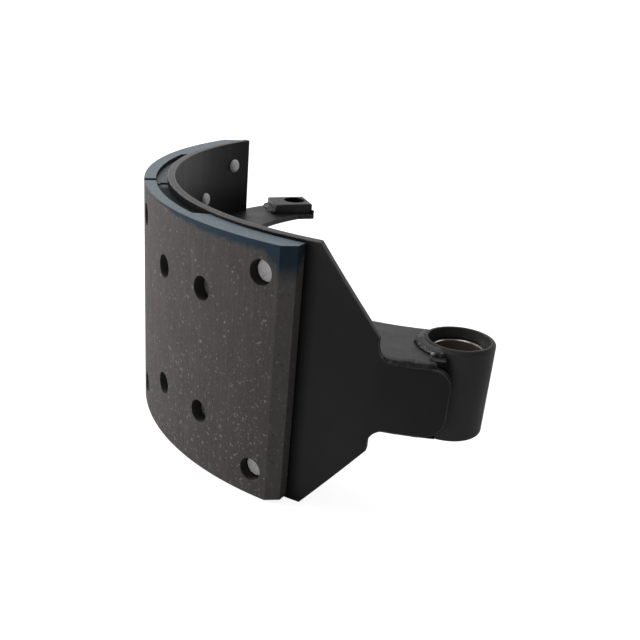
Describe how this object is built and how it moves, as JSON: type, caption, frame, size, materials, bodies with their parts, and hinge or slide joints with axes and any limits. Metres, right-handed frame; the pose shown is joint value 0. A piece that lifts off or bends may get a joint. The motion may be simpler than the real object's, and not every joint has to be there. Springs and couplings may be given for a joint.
{
  "type": "brake shoe",
  "caption": "Drum brake shoe: two riveted friction linings on a curved steel table, with paired webs, a bushed pivot tube and roller pin bosses.",
  "frame": {"origin": "centre of the pivot bush's bore, half way between the two webs", "axes": "+Z along the pivot bush and the drum's axis; -X towards the linings; +Y from the pivot end towards the roller pin end"},
  "size_m": [0.1994, 0.3581, 0.165],
  "materials": {
    "black_painted_steel": "satin black paint",
    "painted_weld": "lumpy weld bead under satin black paint",
    "friction_lining": "matt grey-brown moulded friction material with pale fibres and flecks",
    "rivet_steel": "dull plated steel",
    "bush_metal": "bare steel rim round a dark bronze-brown bore"
  },
  "bodies": {
    "root": {"shoe_table": "black_painted_steel", "web_upper": "black_painted_steel", "web_lower": "black_painted_steel", "pivot_tube": "black_painted_steel", "pivot_bush": "bush_metal", "cam_boss_upper": "black_painted_steel", "cam_boss_lower": "black_painted_steel", "lining_pivot_end": "friction_lining", "lining_cam_end": "friction_lining", "rivets_pivot_end": "rivet_steel", "rivets_cam_end": "rivet_steel", "weld_web_table_upper": "painted_weld", "weld_web_table_lower": "painted_weld", "weld_web_tab_upper": "painted_weld", "weld_web_tab_lower": "painted_weld", "weld_web_tube_upper": "painted_weld", "weld_web_tube_lower": "painted_weld", "weld_cam_boss_upper": "painted_weld", "weld_cam_boss_lower": "painted_weld"}
  },
  "joints": []
}
